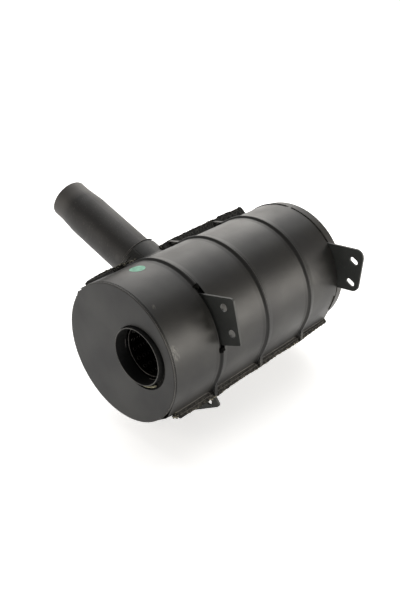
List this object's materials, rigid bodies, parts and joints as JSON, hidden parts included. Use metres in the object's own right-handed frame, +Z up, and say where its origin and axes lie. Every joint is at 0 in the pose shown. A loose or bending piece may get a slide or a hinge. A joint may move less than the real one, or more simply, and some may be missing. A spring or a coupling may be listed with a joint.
{
  "type": "muffler",
  "caption": "Round exhaust silencer with a two-shell heat-shield jacket, an offset axial port, a side pipe and flat mounting brackets.",
  "frame": {"origin": "centre of the axial tube's mouth, on the tube's axis", "axes": "+X runs back along the drum, +Z is up as in the picture, and the side pipe leaves towards +Y, 20 degrees above level"},
  "size_m": [0.463, 0.5246, 0.3169],
  "materials": {
    "jacket_paint": "satin black heat-resistant paint",
    "drum_paint": "satin black heat-resistant paint",
    "pipe_paint": "satin black heat-resistant paint",
    "bracket_paint": "matt black paint on plate",
    "bare_steel": "plain sheet steel",
    "mat_fibre": "needled mineral fibre",
    "sticker_film": "plain printed film"
  },
  "bodies": {
    "root": {"jacket_bracket_side": "jacket_paint", "jacket_pipe_side": "jacket_paint", "front_cover": "jacket_paint", "front_pad": "mat_fibre", "mat_bracket_side": "mat_fibre", "mat_pipe_side": "mat_fibre", "collar_sleeve": "mat_fibre", "drum_shell": "drum_paint", "drum_front_plate": "bare_steel", "front_baffle": "bare_steel", "rear_baffle": "bare_steel", "rear_cap": "drum_paint", "axial_tube": "drum_paint", "perforated_tube": "bare_steel", "side_pipe": "pipe_paint", "bracket_front": "bracket_paint", "bracket_lower": "bracket_paint", "bracket_rear": "bracket_paint", "sticker": "sticker_film"}
  },
  "joints": []
}
